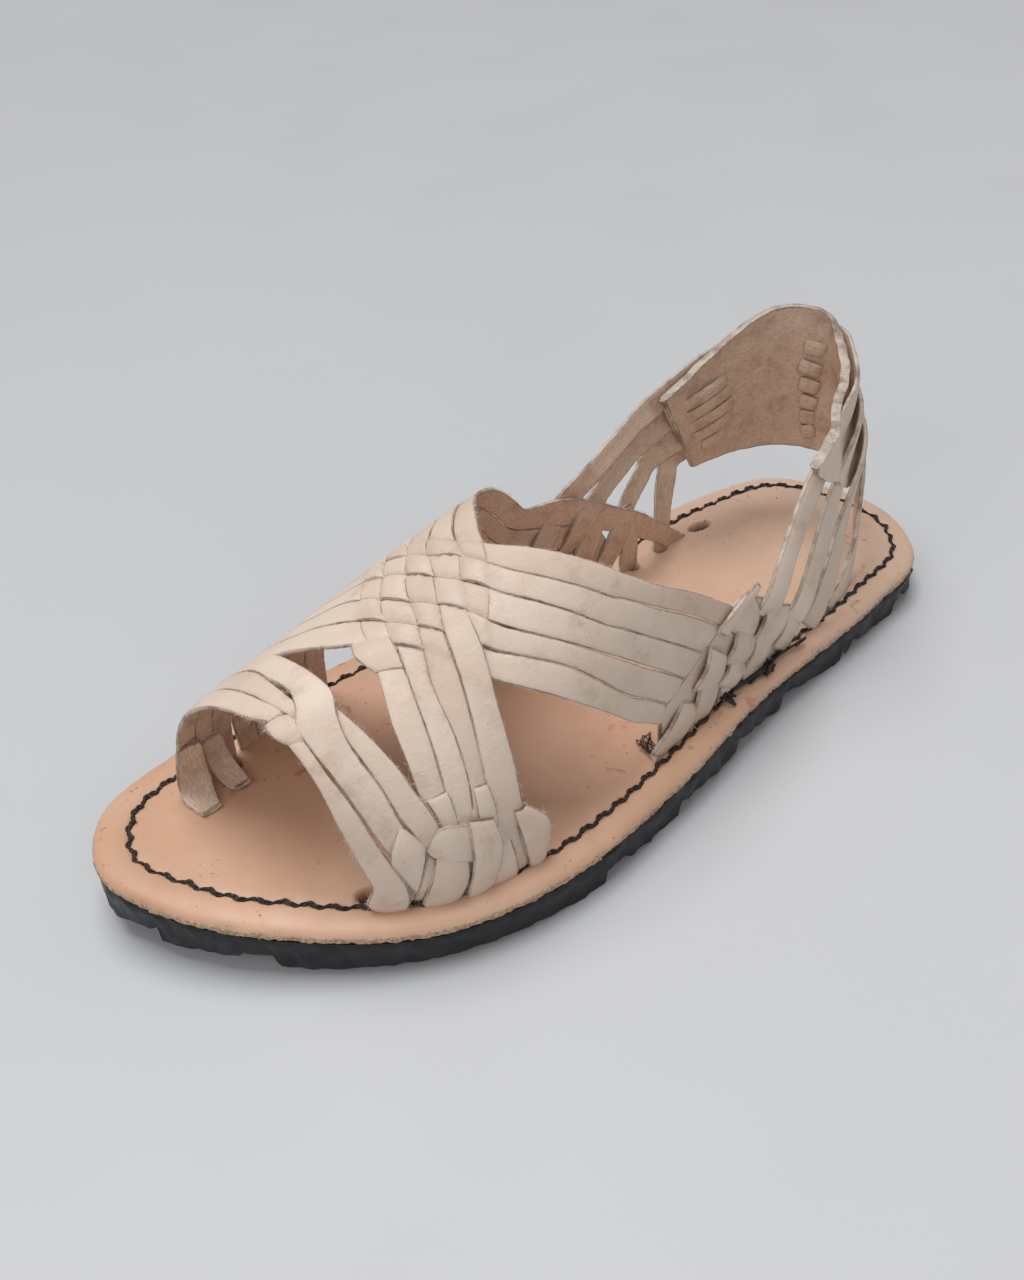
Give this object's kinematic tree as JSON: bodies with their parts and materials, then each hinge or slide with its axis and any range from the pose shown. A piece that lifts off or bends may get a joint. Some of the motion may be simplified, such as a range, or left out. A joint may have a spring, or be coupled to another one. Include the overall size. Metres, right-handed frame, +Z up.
{
  "type": "woven huarache sandal",
  "caption": "Open sandal of woven leather strips on a leather footbed and a scalloped rubber sole, with a heel strap and counter.",
  "frame": {"origin": "middle of the sole's outline on the floor", "axes": "+X towards the toe, +Y towards the outer (little-toe) side, +Z up"},
  "size_m": [0.29, 0.1121, 0.085],
  "materials": {
    "sole_rubber": "matt, scuffed",
    "footbed_leather": "smooth vegetable-tanned, natural",
    "strip_leather": "natural, fine grain, semi-matt",
    "counter_leather": "rough flesh side",
    "black_thread": "waxed",
    "white_thread": "waxed, dusty"
  },
  "bodies": {
    "root": {"outsole": "sole_rubber", "insole": "footbed_leather", "upper": "strip_leather", "heel_counter": "counter_leather"}
  },
  "joints": []
}
